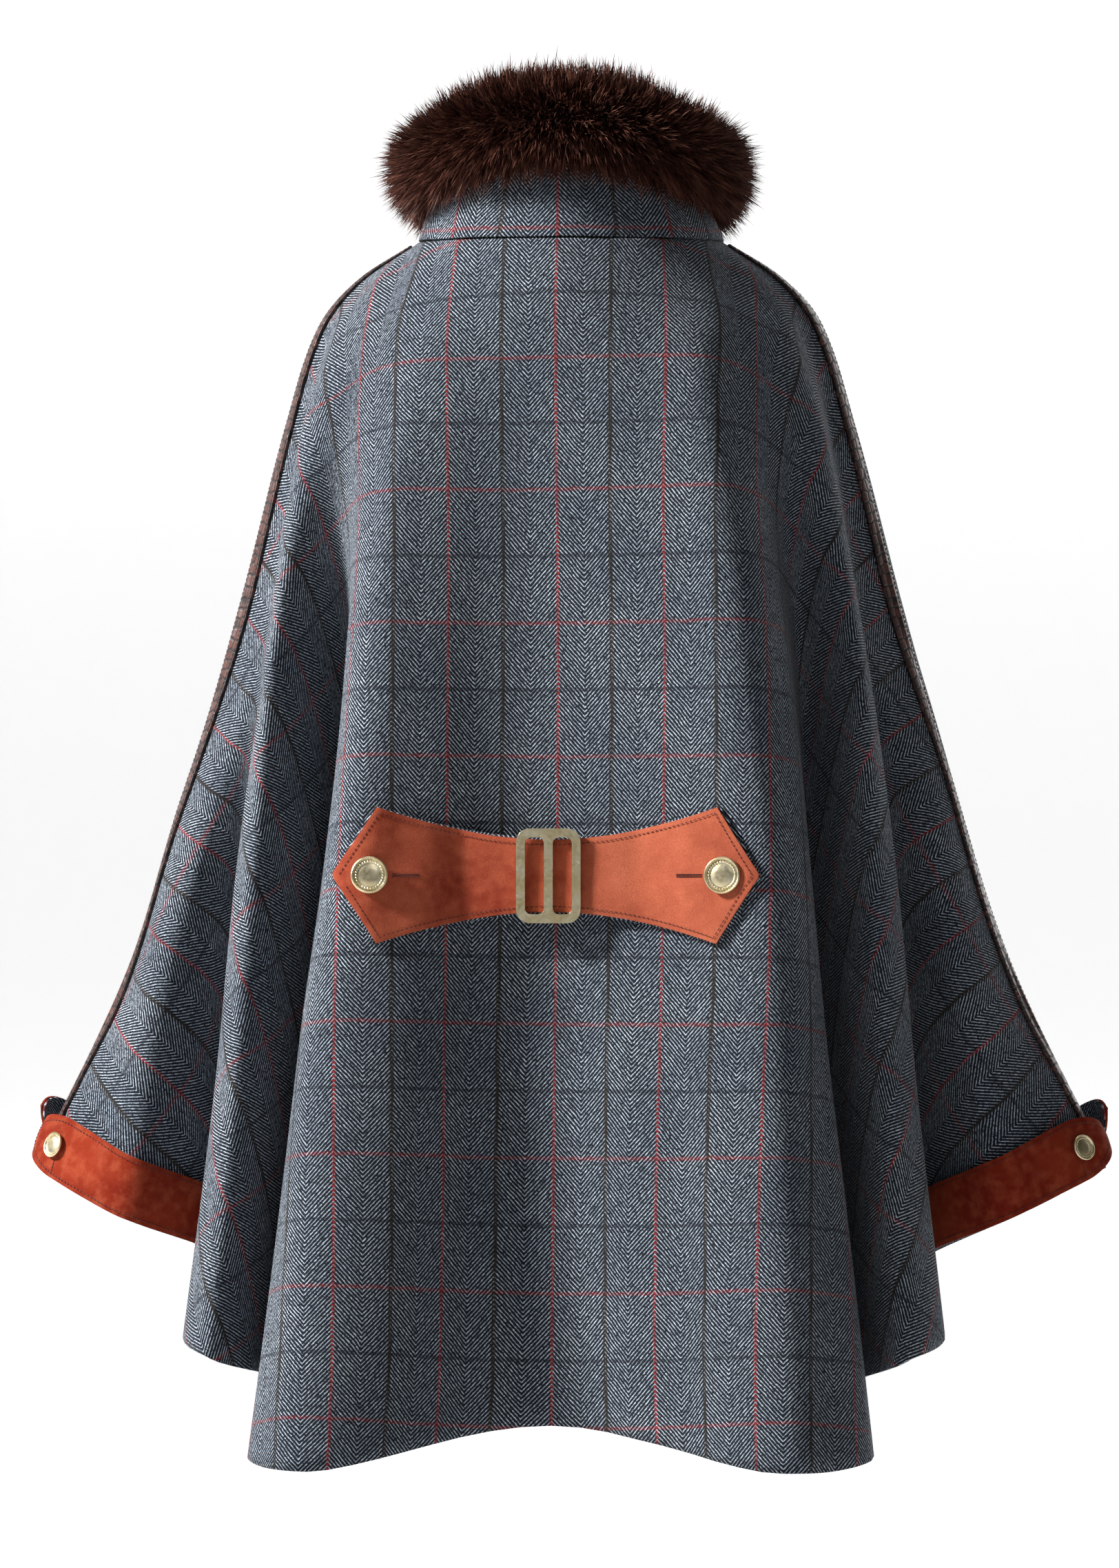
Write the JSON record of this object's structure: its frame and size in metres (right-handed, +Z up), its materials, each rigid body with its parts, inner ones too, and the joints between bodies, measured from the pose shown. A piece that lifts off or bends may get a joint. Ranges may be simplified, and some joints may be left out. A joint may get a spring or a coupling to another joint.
{
  "type": "cape",
  "caption": "Hip-length batwing cape in a worn pose: tweed cloth, fur-topped stand collar, turned-back suede cuffs and a waisted half belt across the back.",
  "frame": {"origin": "centre of the neck opening, at the height of the neck seam at the nape", "axes": "+Z up, -Y the way the garment's back faces, +X the wearer's right"},
  "size_m": [0.7432, 0.386, 0.9533],
  "materials": {
    "tweed": "woven wool herringbone, matt",
    "suede": "napped suede, matt",
    "embossed_leather": "embossed in scales, low sheen",
    "fur": "dense soft pile",
    "gilt": "pale gilt, satin"
  },
  "bodies": {
    "root": {"back": "tweed", "front_left": "tweed", "front_right": "tweed", "collar": "tweed", "fur_trim": "fur", "arm_trim_left": "embossed_leather", "arm_trim_right": "embossed_leather", "belt_backing": "tweed", "belt_suede": "suede", "buckle": "gilt", "cuff_tweed_left_front": "tweed", "cuff_suede_left_front": "suede", "cuff_tweed_left_back": "tweed", "cuff_suede_left_back": "suede", "cuff_button_left": "gilt", "belt_button_left": "gilt", "cuff_tweed_right_front": "tweed", "cuff_suede_right_front": "suede", "cuff_tweed_right_back": "tweed", "cuff_suede_right_back": "suede", "cuff_button_right": "gilt", "belt_button_right": "gilt", "front_button_1": "gilt", "front_button_2": "gilt", "front_button_3": "gilt", "front_button_4": "gilt"}
  },
  "joints": []
}
